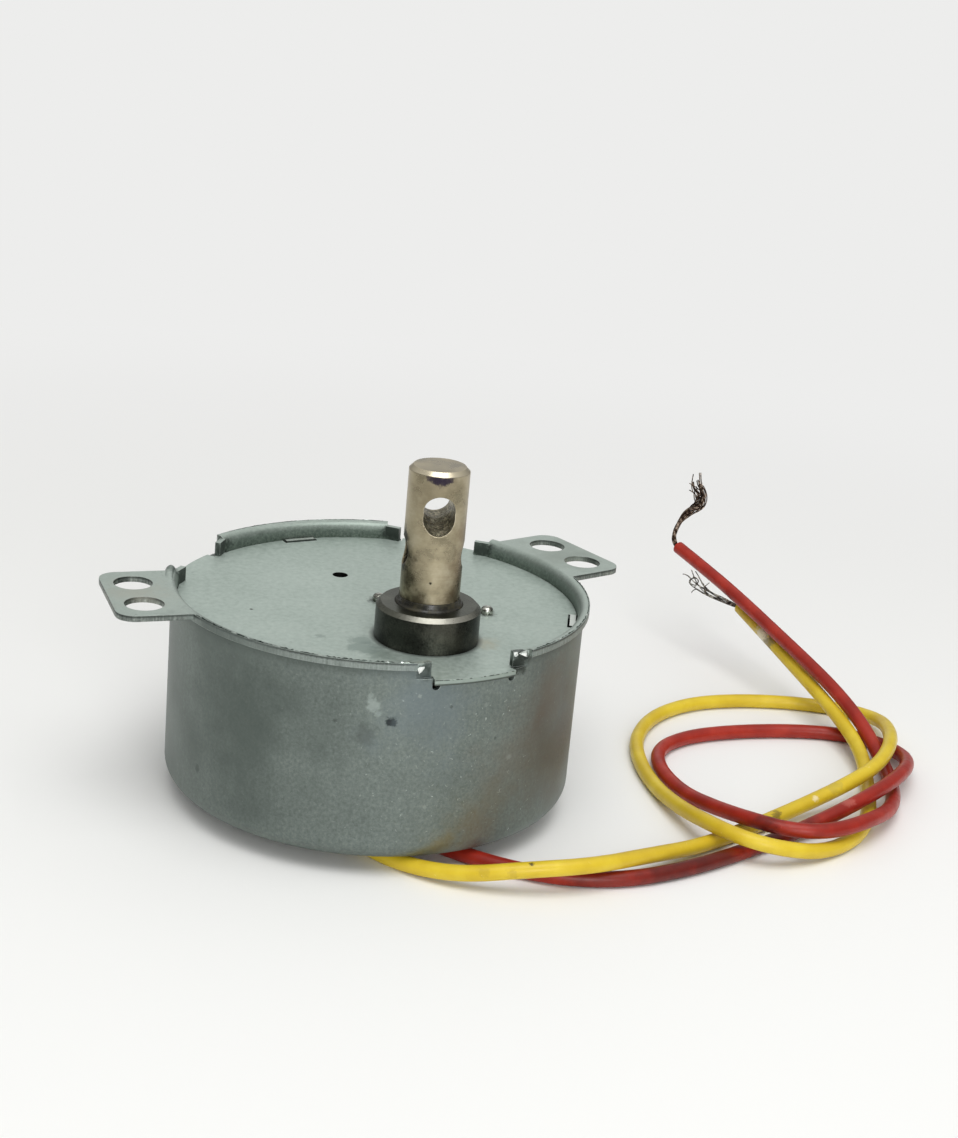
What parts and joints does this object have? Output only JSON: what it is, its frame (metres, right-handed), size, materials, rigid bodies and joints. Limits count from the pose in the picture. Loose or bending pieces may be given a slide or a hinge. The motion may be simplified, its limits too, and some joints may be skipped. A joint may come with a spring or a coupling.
{
  "type": "geared synchronous motor",
  "caption": "Small geared synchronous motor: round zinc-plated can with drilled ears, off-centre cross-drilled output shaft in a bush, and two loose insulated leads.",
  "frame": {"origin": "midway between the two front ear holes, on the top face of the ears", "axes": "+Z along the output shaft towards its free end, +X through the two front ear holes to the ear on the leads' side, -Y from the can's axis towards the shaft"},
  "size_m": [0.111, 0.0746, 0.0453],
  "materials": {
    "zinc_plated_steel": "zinc-plated sheet, fine mottle",
    "cover_steel": "zinc-plated sheet, paler",
    "shaft_steel": "turned, warm nickel tone",
    "sintered_iron": "oil-filled sintered bush, dark",
    "pin_steel": "ground pin",
    "pole_steel": "pressed sheet",
    "gear_steel": "sintered and machined",
    "acetal": "moulded, natural white",
    "bobbin_nylon": "moulded, natural",
    "copper_wire": "enamelled copper",
    "coil_tape": "polyester tape",
    "ferrite": "sintered ferrite, dark grey",
    "washer_brass": "stamped",
    "grommet_nylon": "black moulding",
    "tinned_wire": "tinned copper",
    "solder": "soft solder",
    "yellow_insulation": "PVC, satin",
    "red_insulation": "PVC, satin",
    "bare_copper": "browned copper strands"
  },
  "bodies": {
    "stator": {"case": "zinc_plated_steel", "cover_plate": "cover_steel", "output_bush": "sintered_iron", "arbor_1": "pin_steel", "arbor_2": "pin_steel", "rotor_spindle": "pin_steel", "gear_plate": "pole_steel", "lower_pole_plate": "pole_steel", "coil_bobbin": "bobbin_nylon", "coil_winding": "copper_wire", "coil_tape": "coil_tape", "rotor_washer": "acetal", "lead_grommet": "grommet_nylon", "lead_terminals": "tinned_wire", "solder_joints": "solder", "lead_yellow": "yellow_insulation", "lead_red": "red_insulation", "strands_yellow": "tinned_wire", "strands_red": "bare_copper"},
    "rotor": {"rotor_hub": "acetal", "rotor_magnet": "ferrite"},
    "first_gear": {"gear_1": "acetal"},
    "second_gear": {"gear_2": "acetal"},
    "output": {"output_shaft": "shaft_steel", "output_gear": "gear_steel", "thrust_washer": "washer_brass"}
  },
  "joints": [
    {"name": "rotor_spin", "type": "hinge", "parent": "stator", "child": "rotor", "pos_m": [0, -0.00101, 0], "axis": [0, 0, 1], "continuous": true},
    {"name": "first_gear_spin", "type": "hinge", "parent": "stator", "child": "first_gear", "pos_m": [0.00835, 0.00162, 0], "axis": [0, 0, 1], "continuous": true},
    {"name": "second_gear_spin", "type": "hinge", "parent": "stator", "child": "second_gear", "pos_m": [0.01089, -0.00857, 0], "axis": [0, 0, 1], "continuous": true},
    {"name": "output_spin", "type": "hinge", "parent": "stator", "child": "output", "pos_m": [0, -0.0136, 0], "axis": [0, 0, 1], "continuous": true}
  ],
  "couplings": [
    {"joint": "first_gear_spin", "follows": "rotor_spin", "ratio": -0.25},
    {"joint": "second_gear_spin", "follows": "rotor_spin", "ratio": 0.05},
    {"joint": "output_spin", "follows": "rotor_spin", "ratio": -0.01}
  ]
}
